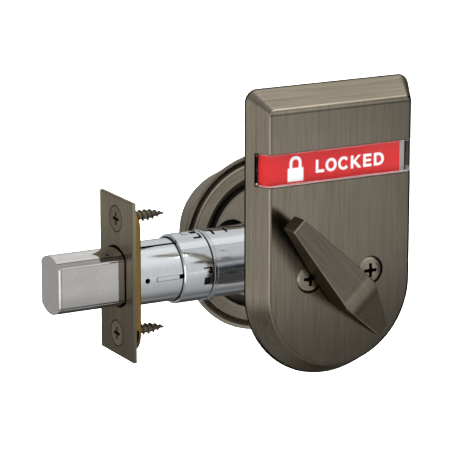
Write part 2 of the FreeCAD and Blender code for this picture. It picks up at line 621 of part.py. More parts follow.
save("carrier_rivets", group([cyl("Y", 1.0, -BOLT_FLAT + 0.1, BOLT_FLAT - 0.1, x, 3.2) for x in (-47.4, -43.4)]))

# ============================================================ outside
# ------------------------------------------------------------ tapered collar
outer_pts = [(RIM_R, RIM_Y + 0.35), (31.4, 23.8), (28.45, 30.0), (25.65, 36.2), (23.1, 42.0), (22.0, 44.5)]
sp = Part.BSplineCurve()
sp.interpolate([V(r, y, 0) for r, y in outer_pts])


def ln(a, b):
    return Part.LineSegment(V(a[0], a[1], 0), V(b[0], b[1], 0)).toShape()


def cone_r(y):
    """Radius of the collar's hollow inside at y."""
    return RIM_RI - (RIM_RI - 20.5) * (y - RIM_Y) / (44.5 - RIM_Y)


cw = Part.Wire([
    ln((RIM_RI, RIM_Y), (RIM_R - 0.35, RIM_Y)), ln((RIM_R - 0.35, RIM_Y), (RIM_R, RIM_Y + 0.35)),
    sp.toShape(), ln((22.0, 44.5), (21.2, 46.0)),
    ln((21.2, 46.0), (20.4, 46.6)), ln((20.4, 46.6), (CYL_R + 0.15, 46.6)),
    ln((CYL_R + 0.15, 46.6), (CYL_R + 0.15, 44.5)), ln((CYL_R + 0.15, 44.5), (20.5, 44.5)),
    ln((20.5, 44.5), (RIM_RI, RIM_Y))])
collar = Part.Face(cw).revolve(V(0, 0, 0), V(0, 1, 0), 360)
if collar.Volume < 0:
    collar.reverse()
save("exterior_collar", solid_of(Part.makeCompound([Part.Solid(collar)]) if collar.ShapeType != "Solid" else collar))

# flat ring that lies on the door round the bore; its foot sits in the collar's cone, and the disc covers its floor
ring = rev("Y", [(RING_RI, RIM_Y), (RING_R - 0.3, RIM_Y), (RING_R, RIM_Y + 0.3), (RING_R, 22.8),
                 (cone_r(22.8) - 0.1, 22.8), (cone_r(24.5) - 0.1, 24.5), (CYL_R + 0.3, 24.5), (CYL_R + 0.3, 23.6),
                 (RING_RI, 23.6)])
save("bore_ring", solid_of(ring))

# ------------------------------------------------------------ cylinder housing
ch = fuse(cyl("Y", DISC_R, DISC_Y, 23.5), cyl("Y", CYL_R, 23.5, CYL_Y))
hc2 = [cyl("Y", PLUG_R + 0.05, 24.4, CYL_Y + 1), cyl("Y", 9.2, DISC_Y - 1, 24.5)]
for sx in (-1, 1):
    hc2.append(cyl("Y", 7.0, DISC_Y - 1, 22.2, sx * 14.1, 2.6))
    hc2.append(cyl("Y", SCREW_R + 0.06, 20.0, 32.0, sx * SCREW_X, 0))
PINS_Y = [31.6 + 3.1 * i for i in range(5)]
for y in PINS_Y:
    hc2.append(Part.makeCylinder(1.36, 8.4, V(0, y, 5.6), V(0, 0, 1)))
hc2.append(box(-1.7, 1.7, 29.6, 46.0, 13.6, 14.42))
hc2.append(cyl("Z", 1.36, 13.0, 20.0, 0, 31.6))
ch = cut(ch, *hc2[:-1])
save("cylinder_housing", solid_of(ch))
cap2 = box(-1.68, 1.68, 29.62, 45.98, 13.62, 14.4)
save("chamber_cap", cap2)

# ------------------------------------------------------------ plug and pins
pc = [cyl("Y", 3.3, 23, 28.4)]
pc.append(box(-0.6, 0.6, 29.5, 48, -4.4, 3.2))
pc.append(box(-0.2, 1.25, 29.5, 48, -0.9, 0.5))
pc.append(box(-1.25, 0.2, 29.5, 48, -3.2, -2.1))
for y in PINS_Y:
    pc.append(Part.makeCylinder(1.36, 5.0, V(0, y, 1.9), V(0, 0, 1)))
clip_s = solid_of(cut(cyl("Y", 8.0, 23.55, 24.35), cyl("Y", 5.24, 23, 25)))
plug_core = cut(fuse(cyl("Y", PLUG_R, 24.42, 47.3), cyl("Y", 5.2, 23.2, 24.5)), *pc)
plug_core = cut(plug_core, cyl("Y", 20, 47.3, 49))
save("cylinder_plug", solid_of(plug_core))
save("plug_retainer", clip_s)

kp, dp, spg = [], [], []
lens_k = [4.0, 3.4, 4.2, 3.1, 3.7]
for y, L in zip(PINS_Y, lens_k):
    top = PLUG_R - 0.06
    p = fuse(cyl("Z", 1.3, top - L + 0.9, top - 0.25, 0, y), cone("Z", 0.45, 1.3, top - L, top - L + 0.9, 0, y))
    p = cut(p, cut(cyl("X", 12, -3, 3, y, 0), cyl("X", top, -4, 4, y, 0)))
    kp.append(solid_of(p))
    d0 = PLUG_R + 0.12
    dp.append(cyl("Z", 1.3, d0, d0 + 3.0, 0, y))
    for j in range(4):
        t = Part.makeTorus(1.05, 0.22, V(0, y, d0 + 3.3 + 0.9 * j), V(0, 0, 1))
        spg.append(t)
save("key_pins", group(kp))
save("driver_pins", group(dp))
save("pin_springs", group(spg))

print(len(written), "nodes")
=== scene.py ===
import math

import bmesh
import bpy
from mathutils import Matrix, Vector


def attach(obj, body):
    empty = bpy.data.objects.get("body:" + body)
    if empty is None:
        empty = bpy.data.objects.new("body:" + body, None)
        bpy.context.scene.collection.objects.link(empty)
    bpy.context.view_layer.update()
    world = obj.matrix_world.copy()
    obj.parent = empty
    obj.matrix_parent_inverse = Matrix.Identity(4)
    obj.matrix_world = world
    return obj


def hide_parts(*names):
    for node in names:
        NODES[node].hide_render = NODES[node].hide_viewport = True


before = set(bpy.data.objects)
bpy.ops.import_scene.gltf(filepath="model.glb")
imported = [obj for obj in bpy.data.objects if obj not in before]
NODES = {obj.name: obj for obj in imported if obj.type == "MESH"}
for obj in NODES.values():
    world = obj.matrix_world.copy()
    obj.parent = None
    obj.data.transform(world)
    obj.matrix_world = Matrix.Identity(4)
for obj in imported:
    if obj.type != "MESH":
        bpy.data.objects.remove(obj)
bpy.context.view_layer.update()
MM = 0.001


# ------------------------------------------------------------------ node helpers
class Mat:
    """A material with one Principled shader and short calls for the nodes that feed it."""

    def __init__(self, name, base=(0.5, 0.5, 0.5), metallic=0.0, rough=0.5):
        self.m = bpy.data.materials.new(name)
        self.m.use_nodes = True
        self.t = self.m.node_tree
        self.t.nodes.clear()
        self.out = self.t.nodes.new("ShaderNodeOutputMaterial")
        self.p = self.t.nodes.new("ShaderNodeBsdfPrincipled")
        self.t.links.new(self.p.outputs["BSDF"], self.out.inputs["Surface"])
        self.set(base=base, metallic=metallic, rough=rough)
        self.m.diffuse_color = (*base, 1)

    def set(self, **kw):
        names = {"base": "Base Color", "metallic": "Metallic", "rough": "Roughness", "aniso": "Anisotropic",
                 "aniso_rot": "Anisotropic Rotation", "spec": "Specular IOR Level", "ior": "IOR",
                 "trans": "Transmission Weight", "coat": "Coat Weight", "coat_rough": "Coat Roughness",
                 "alpha": "Alpha", "tint": "Specular Tint"}
        for k, v in kw.items():
            s = self.p.inputs[names[k]]
            s.default_value = (*v, 1) if k in ("base", "tint") else v
        return self

    def n(self, kind, ins=None, **props):
        node = self.t.nodes.new("ShaderNode" + kind)
        for k, v in props.items():
            setattr(node, k, v)
        for k, v in (ins or {}).items():
            self.put(node.inputs[k], v)
        return node

    def put(self, socket, v):
        if isinstance(v, bpy.types.NodeSocket):
            self.t.links.new(v, socket)
        else:
            socket.default_value = v

    def feed(self, **kw):
        names = {"base": "Base Color", "rough": "Roughness", "normal": "Normal", "tangent": "Tangent"}
        for k, v in kw.items():
            self.t.links.new(v, self.p.inputs[names[k]])
        return self

    # coordinates are the object's own, in metres
    def co(self):
        return self.n("TexCoord").outputs["Object"]

    def normal(self):
        return self.n("TexCoord").outputs["Normal"]

    def math(self, op, a, b=0.0, clamp=False):
        return self.n("Math", {0: a, 1: b}, operation=op, use_clamp=clamp).outputs[0]

    def dot(self, v, d):
        return self.n("VectorMath", {0: v, 1: d}, operation="DOT_PRODUCT").outputs["Value"]

    def xyz(self, x, y, z):
        return self.n("CombineXYZ", {"X": x, "Y": y, "Z": z}).outputs[0]

    def scaled(self, v, s):
        return self.n("VectorMath", {0: v, 1: s}, operation="MULTIPLY").outputs[0]

    def noise(self, v, scale=1.0, detail=3.0, rough=0.55, distortion=0.0, w=None):
        node = self.n("TexNoise", {"Vector": v, "Scale": scale, "Detail": detail, "Roughness": rough,
                                   "Distortion": distortion})
        return node.outputs[0]

    def remap(self, v, a, b, c, d, smooth=False):
        return self.n("MapRange", {0: v, 1: a, 2: b, 3: c, 4: d},
                      interpolation_type="SMOOTHSTEP" if smooth else "LINEAR").outputs[0]

    def ramp(self, v, stops):
        node = self.n("ValToRGB", {0: v})
        e = node.color_ramp.elements
        while len(e) > len(stops):
            e.remove(e[-1])
        while len(e) < len(stops):
            e.new(1.0)
        for el, (pos, col) in zip(e, stops):
            el.position = pos
            el.color = (*col, 1)
        return node.outputs[0]

    def mix(self, f, a, b):
        node = self.n("Mix", data_type="FLOAT")
        self.put(node.inputs[0], f)
        self.put(node.inputs[2], a)
        self.put(node.inputs[3], b)
        return node.outputs[0]

    def mixc(self, f, a, b, blend="MIX"):
        node = self.n("Mix", data_type="RGBA", blend_type=blend)
        self.put(node.inputs[0], f)
        self.put(node.inputs[6], a if isinstance(a, bpy.types.NodeSocket) else (*a, 1))
        self.put(node.inputs[7], b if isinstance(b, bpy.types.NodeSocket) else (*b, 1))
        return node.outputs[2]

    def mixv(self, f, a, b):
        node = self.n("Mix", data_type="VECTOR")
        self.put(node.inputs[0], f)
        self.put(node.inputs[4], a)
        self.put(node.inputs[5], b)
        return node.outputs[1]

    def smooth(self, v, a, b):
        """0 below a, 1 above b, with a soft step between them."""
        return self.remap(v, a, b, 0.0, 1.0, True)

    def band(self, v, a0, a1, b0, b1):
        """1 between a1 and b0, 0 below a0 and above b1."""
        return self.math("MULTIPLY", self.smooth(v, a0, a1), self.remap(v, b0, b1, 1.0, 0.0, True))

    def split(self, v):
        o = self.n("SeparateXYZ", {0: v}).outputs
        return o[0], o[1], o[2]

    def length(self, *parts):
        t = None
        for a in parts:
            q = self.math("MULTIPLY", a, a)
            t = q if t is None else self.math("ADD", t, q)
        return self.math("SQRT", t)

    def shade(self, col, f):
        """Scale a colour by a number."""
        node = self.n("VectorMath", {0: col}, operation="SCALE")
        self.put(node.inputs["Scale"], f)
        return node.outputs[0]

    def level(self, f, low, high):
        """low where f is 0, high where f is 1."""
        return self.mix(f, low, high)

    def bump(self, h, strength=0.3, dist=0.00003, normal=None):
        node = self.n("Bump", {"Height": h, "Strength": strength, "Distance": dist})
        if normal is not None:
            self.put(node.inputs["Normal"], normal)
        return node.outputs[0]


def grain_coords(m, along, fine=1150.0, slow=16.0):
    """Coordinates stretched along one direction, so that noise in them reads as brushing."""
    v = m.co()
    a = Vector(along).normalized()
    q = Vector((0, 1, 0)) if abs(a.y) < 0.9 else Vector((1, 0, 0))
    b = (q - a * q.dot(a)).normalized()
    c = a.cross(b)
    return m.xyz(m.math("MULTIPLY", m.dot(v, a), slow), m.math("MULTIPLY", m.dot(v, b), fine),
                 m.math("MULTIPLY", m.dot(v, c), fine))


# ------------------------------------------------------------------ pewter
PEWTER = [(0.22, (0.150, 0.130, 0.100)), (0.42, (0.232, 0.203, 0.157)), (0.58, (0.296, 0.261, 0.205)),
          (0.80, (0.405, 0.362, 0.290))]


def pewter(name, along=(0, 0, 1), tangent="Z", by_slope=False, ring=False, level=1.0, rough=0.27, aniso=0.6,
           contrast=1.0, painted_light=None, metallic=1.0):
    m = Mat(name, (0.27, 0.24, 0.19), metallic, rough)
    m.set(tint=(0.80, 0.72, 0.60))
    v = m.co()
    x, y, z = m.split(v)
    if ring:
        rad = m.length(x, z)
        ang = m.math("ARCTAN2", z, x)
        g = m.xyz(m.math("MULTIPLY", rad, 1100.0), m.math("MULTIPLY", y, 1100.0), m.math("MULTIPLY", ang, 1.3))
    else:
        g = grain_coords(m, along, 1050.0, 38.0)
    fine = m.noise(g, 1.0, 5.0, 0.70)
    wide = m.noise(m.scaled(g, (0.30, 0.20, 0.20)), 1.0, 2.0, 0.5)
    top = None
    if by_slope:
        # the slope over the top is brushed along the outline's width
        gx = grain_coords(m, (1, 0, 0), 1050.0, 30.0)
        fine_x = m.noise(gx, 1.0, 5.0, 0.70)
        wide_x = m.noise(m.scaled(gx, (0.30, 0.26, 0.26)), 1.0, 2.0, 0.5)
        top = m.smooth(m.split(m.normal())[2], 0.45, 0.60)
        fine = m.mix(top, fine, fine_x)
        wide = m.mix(top, wide, wide_x)
    cloud = m.noise(m.scaled(v, (38.0, 38.0, 38.0)), 1.0, 3.0, 0.55)
    s = m.math("ADD", m.math("MULTIPLY", fine, 0.74 * contrast), m.math("MULTIPLY", wide, 0.14 * contrast))
    s = m.math("ADD", s, m.math("MULTIPLY", cloud, 0.12))
    s = m.math("ADD", s, 0.44 * (1 - contrast))
    col = m.ramp(s, [(p, tuple(c * level for c in rgb)) for p, rgb in PEWTER])
    ro = m.remap(fine, 0.2, 0.8, rough - 0.05, rough + 0.07)
    if painted_light:
        # painted highlights on edges and painted shade in corners and gaps, from the callback, which also says where
        # the surface is duller
        gain, dull = painted_light(m, x, y, z, top)
        col = m.shade(col, gain)
        if dull is not None:
            ro = m.mix(dull, ro, 0.62)
    m.feed(base=col)
    m.feed(rough=ro)
    m.feed(normal=m.bump(fine, 0.14, 0.00004))
    if aniso:
        m.set(aniso=aniso)
        if tangent == "blade":
            d = m.n("VectorTransform", {0: (0.740, 0.0, 0.673)}, vector_type="VECTOR", convert_from="OBJECT",
                    convert_to="WORLD").outputs[0]
            m.feed(tangent=d)
        else:
            tz = m.n("Tangent", direction_type="RADIAL", axis=tangent).outputs[0]
            if by_slope:
                tx = m.n("Tangent", direction_type="RADIAL", axis="X").outputs[0]
                tz = m.mixv(top, tz, tx)
            m.feed(tangent=tz)
    return m.m


def mul(m, *fs):
    t = fs[0]
    for f in fs[1:]:
        t = m.math("MULTIPLY", t, f)
    return t


def plate_painted_light(m, x, y, z, top):
    nx, ny, nz = m.split(m.normal())
    # painted highlight on the rounded front edge: its normals lie between the front's and the slopes'
    edge = m.band(ny, -0.985, -0.93, -0.74, -0.60)
    # a painted dark line on the front just inside the rounded edge
    line = m.band(ny, -0.9995, -0.996, -0.990, -0.975)
    # painted shade along the back edge, round the screw recesses, the window and the neck
    back = mul(m, m.mix(m.smooth(nz, -0.55, -0.25), m.smooth(y, -0.02710, -0.02690), m.smooth(y, -0.02625, -0.02600)),
               m.remap(ny, 0.2, 0.5, 1.0, 0.0, True))
    rs = m.length(m.math("SUBTRACT", m.math("ABSOLUTE", x), 0.0122), z)
    ring = mul(m, m.band(rs, 0.00485, 0.00496, 0.00519, 0.00524), m.smooth(y, -0.03460, -0.03445))
    neck = m.remap(m.length(x, z), 0.0056, 0.0066, 1.0, 0.0, True)
    zw = m.math("ABSOLUTE", m.math("SUBTRACT", z, 0.03975))
    win = mul(m, m.band(zw, 0.00555, 0.00572, 0.00586, 0.00606), m.remap(y, -0.0296, -0.0294, 1.0, 0.0, True))
    end = mul(m, m.band(y, -0.02975, -0.02965, -0.02950, -0.02930), m.remap(zw, 0.00570, 0.00590, 1.0, 0.0, True))
    # painted shade on the window's end wall: dark on the near side, painted paler on the far one, where the clear
    # window lights it
    end_gain = m.remap(x, -0.005, 0.005, 0.04, 0.55)
    # painted shade: the front darkens towards the foot and to the right; the side slopes don't darken to the right, and
    # are painted lighter towards the foot
    flat = m.remap(ny, -0.80, -0.60, 1.0, 0.0, True)
    foot = m.mix(flat, m.remap(z, -0.045, 0.015, 1.42, 1.0, True), m.remap(z, -0.034, 0.014, 0.40, 1.0, True))
    side = m.mix(flat, 1.05, mul(m, m.remap(x, -0.026, 0.027, 1.02, 0.60), m.remap(z, 0.044, 0.058, 1.0, 0.90, True)))
    # painted shade on the rounded edge of the far side, between the front and the slope
    far = mul(m, m.band(nx, 0.05, 0.15, 0.82, 0.87), m.remap(ny, -0.62, -0.52, 1.0, 0.0, True))
    # painted light: faces turned to the back and the top slope are painted lighter
    behind = m.smooth(ny, 0.5, 0.8)
    slope = m.level(m.smooth(nz, 0.45, 0.70), 1.0, 1.45)
    # painted soft shade just under the rounded top edge, and a painted highlight along the top of the front above it
    under = mul(m, m.band(z, 0.0588, 0.0591, 0.0594, 0.0598), flat)
    lit = mul(m, m.smooth(z, 0.0594, 0.0600), flat)
    # in the window's reveal the painted edge highlight is left out and the top slope's painted light becomes painted
    # shade
    reveal = mul(m, m.remap(zw, 0.00578, 0.00590, 1.0, 0.0, True), m.remap(y, -0.0294, -0.0292, 1.0, 0.0, True))
    outer = m.math("SUBTRACT", 1.0, reveal)
    edge, slope = mul(m, edge, outer), m.mix(reveal, slope, 0.40)
    # a stronger painted highlight on the rounded top edge
    crest = mul(m, edge, m.smooth(nz, 0.35, 0.6))
    # painted highlight on the rounded edge round the foot, where the painted dark line is left out
    low = m.remap(nz, -0.20, -0.05, 1.0, 0.0, True)
    gain = mul(m, foot, side, slope, m.level(edge, 1.0, 1.22), m.level(crest, 1.0, 1.55), m.level(line, 1.0, m.mix(low, 0.72, 1.0)), m.level(mul(m, edge, low), 1.0, 1.45), m.level(back, 1.0, 0.08),
               m.level(far, 1.0, 0.07), m.level(behind, 1.0, 1.4),
               m.level(ring, 1.0, 0.14), m.level(neck, 1.0, 0.4), m.level(win, 1.0, 0.30), m.level(end, 1.0, end_gain),
               m.level(under, 1.0, 0.55), m.level(lit, 1.0, 1.45))
    return gain, m.math("MAXIMUM", m.math("MAXIMUM", back, m.math("MAXIMUM", ring, far)), m.math("MAXIMUM", neck, end))


def face_painted_light(m, x, y, z, top):
    nx, ny, nz = m.split(m.normal())
    # painted shade: darker rounded edges, dark rings round the screw heads and the bolt's opening, and a front
    # darkening towards the bottom
    edge = m.band(nx, -0.97, -0.85, -0.55, -0.30)
    rs = m.length(y, m.math("SUBTRACT", m.math("ABSOLUTE", z), 0.02065))
    ring = m.band(rs, 0.00435, 0.00450, 0.00472, 0.00492)
    rb = m.length(y, z)
    hole = mul(m, m.remap(rb, 0.0110, 0.0113, 1.0, 0.0, True), m.remap(m.math("ABSOLUTE", y), 0.00775, 0.00805, 1.0, 0.0, True))
    foot = m.math("ADD", m.remap(z, -0.028, 0.0, 0.60, 0.76), m.remap(z, 0.0, 0.021, 0.0, 0.52))
    gain = mul(m, foot, m.level(edge, 1.0, 0.35), m.level(ring, 1.0, 0.22), m.level(hole, 1.0, 0.25))
    return gain, m.math("MAXIMUM", ring, hole)


def blade_painted_light(m, x, y, z, top):
    # painted highlights on the front's edges and along the bend, a lower slope painted lighter, and painted shade near
    # the plate and on the sides
    nx, ny, nz = m.split(m.normal())
    n = m.normal()
    across = m.math("ABSOLUTE", m.dot(n, (-0.740, 0.0, -0.673)))
    up = m.math("MULTIPLY", m.dot(n, (0.673, 0.0, -0.740)), -1.0)
    edge = m.math("MAXIMUM", m.band(across, 0.16, 0.34, 0.72, 0.90), m.band(up, 0.16, 0.34, 0.72, 0.92))
    front = m.remap(ny, -0.35, -0.20, 1.0, 0.0, True)
    fold = mul(m, m.band(up, -0.40, -0.30, -0.14, -0.04), m.remap(across, 0.05, 0.15, 1.0, 0.0, True), front)
    slope = mul(m, m.remap(up, -0.40, -0.30, 1.0, 0.0, True), front)
    low = m.smooth(y, -0.0375, -0.0362)
    sides = m.math("MAXIMUM", m.smooth(across, 0.86, 0.97), m.smooth(up, 0.90, 0.98))
    gain = mul(m, m.level(mul(m, edge, front), 1.0, 3.0), m.level(fold, 1.0, 2.1), m.level(low, 1.0, 0.35),
               m.level(sides, 1.0, 0.88), m.level(slope, 1.0, 1.40))
    return gain, m.math("MAXIMUM", low, m.math("MULTIPLY", sides, 0.6))


def collar_painted_light(m, x, y, z, top):
    nx, ny, nz = m.split(m.normal())
    rad = m.length(x, z)
    front = m.remap(ny, -0.90, -0.80, 1.0, 0.0, True)
    # a painted highlight on the front rim
    rim = mul(m, front, m.smooth(rad, 0.03225, 0.03240))
    # the hollow inside faces the axis; it is painted lighter
    radial = m.math("DIVIDE", m.math("ADD", m.math("MULTIPLY", nx, x), m.math("MULTIPLY", nz, z)), rad)
    inside = m.remap(radial, -0.3, -0.1, 1.0, 0.0, True)
    # painted shade on the outside near the front
    lip = m.remap(y, 0.0192, 0.0200, 1.0, 0.0, True)
    gain = mul(m, m.level(inside, 1.0, 1.9), m.level(rim, m.level(mul(m, lip, m.remap(radial, 0.5, 0.8, 0.0, 1.0, True)), 1.0, 0.6), 1.35))
    return gain, inside


def bore_painted_light(m, x, y, z, top):
    # painted shade on the outer wall, in the well and at its edge, and towards the bottom; a painted highlight on the
    # rim and a slightly darker ridge
    rad = m.length(x, z)
    wall = mul(m, m.smooth(rad, 0.0297, 0.0300), m.smooth(y, 0.0190, 0.0193))
    well = m.remap(rad, 0.0253, 0.0254, 1.0, 0.0, True)
    ridge = m.band(rad, 0.02855, 0.02900, 0.02940, 0.02975)
    rim = m.band(rad, 0.02535, 0.02560, 0.02600, 0.02630)
    foot = m.remap(z, -0.024, -0.006, 0.62, 1.0, True)
    shadow = m.band(rad, 0.0240, 0.0247, 0.0252, 0.0254)
    gain = mul(m, foot, m.level(wall, 1.0, 0.55), m.level(well, 1.0, 0.62), m.level(shadow, 1.0, 0.35), m.level(ridge, 1.0, 0.80),
               m.level(rim, 1.0, 1.15))
    return gain, m.math("MAXIMUM", wall, well)


def disc_painted_light(m, x, y, z, top):
    # painted shade behind the disc's face and round the wells behind it, and a darker edge
    rad = m.length(x, z)
    deep = m.smooth(y, 0.01905, 0.01935)
    well = m.remap(m.length(m.math("SUBTRACT", m.math("ABSOLUTE", x), 0.0141), m.math("SUBTRACT", z, 0.0026)), 0.0070, 0.0072, 1.0, 0.0, True)
    # the painted shade of the deep part and the well stays behind the disc: the outside face has the collar's finish
    behind = m.remap(y, 0.036, 0.038, 1.0, 0.0, True)
    well = mul(m, well, behind)
    deep = m.math("MAXIMUM", mul(m, deep, behind), well)
    edge = m.smooth(rad, 0.0205, 0.0214)
    gain = mul(m, m.level(deep, 1.0, 0.10), m.level(well, 1.0, 0.35), m.level(edge, 1.0, 0.75))
    return gain, deep


def screw_painted_light(m, x, y, z, top):
    # painted shade in the cross recess and round the head's rim, and a paler ring on the head
    rs = m.length(m.math("SUBTRACT", m.math("ABSOLUTE", x), 0.0122), z)
    cross = mul(m, m.smooth(y, -0.03540, -0.03515), m.remap(rs, 0.0027, 0.0030, 1.0, 0.0, True))
    rim = mul(m, m.smooth(rs, 0.0047, 0.0049), m.remap(y, -0.0340, -0.0338, 1.0, 0.0, True))
    pale_ring = m.band(rs, 0.0036, 0.0041, 0.0045, 0.0048)
    gain = mul(m, m.level(cross, 1.0, 0.06), m.level(rim, 1.0, 0.6), m.level(pale_ring, 1.0, 1.25))
    return gain, cross


def wood_painted_light(m, x, y, z, top):
    # painted shade in the cross recess and round the head's rim; the head is darker than the shank
    rs = m.length(y, m.math("SUBTRACT", m.math("ABSOLUTE", z), 0.02065))
    head = m.remap(x, -0.0690, -0.0685, 1.0, 0.0, True)
    cross = mul(m, m.smooth(x, -0.06972, -0.06955), m.remap(rs, 0.0024, 0.0026, 1.0, 0.0, True), head)
    rim = mul(m, m.smooth(rs, 0.00432, 0.00446), head)
    # painted shade between the turns of the thread
    root = mul(m, m.remap(rs, 0.00150, 0.00205, 1.0, 0.0, True), m.smooth(x, -0.0675, -0.0665))
    gain = mul(m, m.level(cross, 1.0, 0.08), m.level(rim, 1.0, 0.25), m.level(root, 1.0, 0.40), m.level(head, 1.0, 0.55))
    return gain, m.math("MAXIMUM", cross, rim)


plate_mat = pewter("pewter_plate", by_slope=True, rough=0.22, painted_light=plate_painted_light)
face_mat = pewter("pewter_faceplate", level=1.02, rough=0.34, painted_light=face_painted_light)
blade_mat = pewter("pewter_blade", along=(0.673, 0, -0.740), tangent="blade", contrast=0.8, level=0.62, painted_light=blade_painted_light)
collar_mat = pewter("pewter_collar", ring=True, tangent="Y", aniso=0.4, contrast=0.7, level=0.74, painted_light=collar_painted_light, metallic=0.75)
bore_mat = pewter("pewter_bore_ring", ring=True, tangent="Y", aniso=0.4, contrast=0.7, level=0.80, painted_light=bore_painted_light, metallic=0.45)
screw_mat = pewter("pewter_screw", along=(1, 0, 0), aniso=0.0, contrast=0.5, level=1.30, rough=0.26, painted_light=screw_painted_light)
wood_screw_mat = pewter("pewter_wood_screw", along=(1, 0, 0), aniso=0.0, contrast=0.6, level=1.8, rough=0.30, painted_light=wood_painted_light)
cast_mat = pewter("pewter_cast_disc", along=(1, 0, 0), aniso=0.0, contrast=0.35, level=0.85, rough=0.42, painted_light=disc_painted_light, metallic=0.35)


# ------------------------------------------------------------------ other metals
def metal(name, dark, light, rough, rough_var=0.05, grain=None, speck=0.0, ripple=0.0, bump=0.1, spot=220.0,
          inside=None, front=None, within=None, painted_light=None, relief=None):
    m = Mat(name, light, 1.0, rough)
    v = m.co()
    cloud = m.noise(m.scaled(v, (90.0, 90.0, 90.0)), 1.0, 4.0, 0.6, 0.4)
    f = cloud
    if grain is not None:
        g = m.noise(grain_coords(m, grain, 900.0, 26.0), 1.0, 3.0, 0.6)
        f = m.math("ADD", m.math("MULTIPLY", cloud, 0.45), m.math("MULTIPLY", g, 0.55))
    else:
        g = m.noise(m.scaled(v, (1800.0, 1800.0, 1800.0)), 1.0, 2.0, 0.5)
    col = m.ramp(f, [(0.25, dark), (0.55, tuple((a + b) / 2 for a, b in zip(dark, light))), (0.75, light)])
    if speck:
        sp = m.noise(m.scaled(v, (2600.0, 2600.0, 2600.0)), 1.0, 2.0, 0.6)
        mask = m.remap(sp, 0.28, 0.40, 1.0, 0.0, True)
        col = m.mixc(m.math("MULTIPLY", mask, speck), col, tuple(c * 0.35 for c in dark))
    ro = m.remap(f, 0.25, 0.75, rough + rough_var, rough - rough_var)
    if inside:
        # painted shade inside the tube, nearer to the X axis than this, and duller there
        x, y, z = m.split(v)
        k = m.remap(m.length(y, z), inside - 0.0001, inside, 1.0, 0.0, True)
        if front:
            # apart from the ring-shaped face at the front
            k = mul(m, k, m.smooth(x, front, front + 0.0001))
        col = m.shade(col, m.level(k, 1.0, 0.05))
        ro = m.mix(k, ro, 0.6)
    # painted light and shade from the callback
    if painted_light:
        col = m.shade(col, painted_light(m, *m.split(v)))
    if within:
        # and painted shade on the length that stays inside another piece
        k = m.smooth(m.split(v)[0], within - 0.0003, within)
        col = m.shade(col, m.level(k, 1.0, 0.06))
        ro = m.mix(k, ro, 0.6)
    m.feed(base=col)
    m.feed(rough=ro)
    nrm = m.bump(g, bump, 0.00003)
    if ripple:
        rp = m.noise(m.scaled(v, (spot, spot, spot)), 1.0, 2.0, 0.5)
        nrm = m.bump(rp, ripple, 0.0004, nrm)
    if relief:
        nrm = m.bump(relief(m), 1.0, 0.0006, nrm)
    m.feed(normal=nrm)
    return m


ZINC = dict(dark=(0.74, 0.77, 0.80), light=(0.85, 0.875, 0.90), rough=0.12, rough_var=0.04, grain=(0, 0, 1),
            ripple=0.08, bump=0.04, spot=140.0)
zinc_mat = metal("bright_zinc", **ZINC).m
tube_mat = metal("bright_zinc_tube", inside=0.01116, within=-0.0484, **ZINC).m
collar_zinc_mat = metal("bright_zinc_collar", inside=0.01208, front=-0.0489, **ZINC).m
housing_mat = metal("bright_zinc_housing", inside=0.01208, **ZINC).m


def back_painted_light(m, x, y, z):
    """Painted shade round the spindle and below it, lighter above, and on the faces turned towards -Y."""
    low = mul(m, m.remap(z, -0.004, 0.020, 0.92, 1.0, True), m.remap(m.split(m.normal())[1], -0.5, 0.0, 0.08, 1.0))
    dx = m.math("SUBTRACT", x, -0.0235)
    spot = m.length(m.math("MULTIPLY", dx, 1.0), m.math("ADD", z, 0.003))
    cloud = m.noise(m.scaled(m.co(), (420.0, 420.0, 420.0)), 1.0, 3.0, 0.6)
    spot = m.math("ADD", spot, m.math("MULTIPLY", m.math("SUBTRACT", cloud, 0.5), 0.008))
    return mul(m, low, m.remap(spot, 0.002, 0.010, 0.60, 1.0, True))


back_mat = metal("plated_back", (0.88, 0.89, 0.90), (0.95, 0.96, 0.97), 0.27, 0.05, grain=(1, 0, 0), painted_light=back_painted_light).m
plated_mat = metal("plated_steel", (0.50, 0.51, 0.52), (0.66, 0.67, 0.68), 0.27, 0.06, grain=(1, 0, 0)).m
hard_mat = metal("hard_steel", (0.34, 0.34, 0.35), (0.48, 0.48, 0.49), 0.30, 0.05).m
cast_zinc_mat = metal("cast_zinc", (0.36, 0.37, 0.38), (0.50, 0.51, 0.52), 0.42, 0.06, speck=0.3).m


def bolt_painted_light(m, x, y, z):
    """Painted reflections along the round top, painted dark lines along the flats' edges and near the tip, flats darker
    towards the bottom, and painted highlights on the tip's chamfers.
    """
    up = m.math("ARCTAN2", z, m.math("ABSOLUTE", y))
    side = m.remap(m.math("ABSOLUTE", m.split(m.normal())[1]), 0.97, 0.99, 0.0, 1.0)
    tip = m.smooth(m.math("ABSOLUTE", m.split(m.normal())[0]), 0.8, 0.95)
    r = lambda a: math.radians(a)
    dark_reflection_band = m.band(up, r(46), r(47), r(55.5), r(57))
    line = m.band(up, r(55.5), r(56.3), r(57.8), r(58.8))
    light = m.smooth(up, r(58), r(60))
    crown = mul(m, m.level(dark_reflection_band, 1.0, 0.50), m.level(line, 1.0, 0.30), m.level(light, 1.0, 1.28))
    crown = m.mix(m.math("MAXIMUM", side, tip), crown, 1.0)
    za = m.math("ABSOLUTE", z)
    dark_edge_line = mul(m, side, m.band(za, 0.00670, 0.00682, 0.00690, 0.00702))
    edge = mul(m, side, m.band(x, -0.09440, -0.09425, -0.09410, -0.09395))
    fade = m.mix(side, 1.0, m.remap(z, -0.0074, -0.001, 0.72, 1.0, True))
    nx = m.math("MULTIPLY", m.split(m.normal())[0], -1.0)
    chamfer_highlight = m.band(nx, 0.3, 0.5, 0.85, 0.95)
    return mul(m, crown, m.level(dark_edge_line, 1.0, 0.60), m.level(edge, 1.0, 0.60), fade, m.level(chamfer_highlight, 1.0, 1.35))


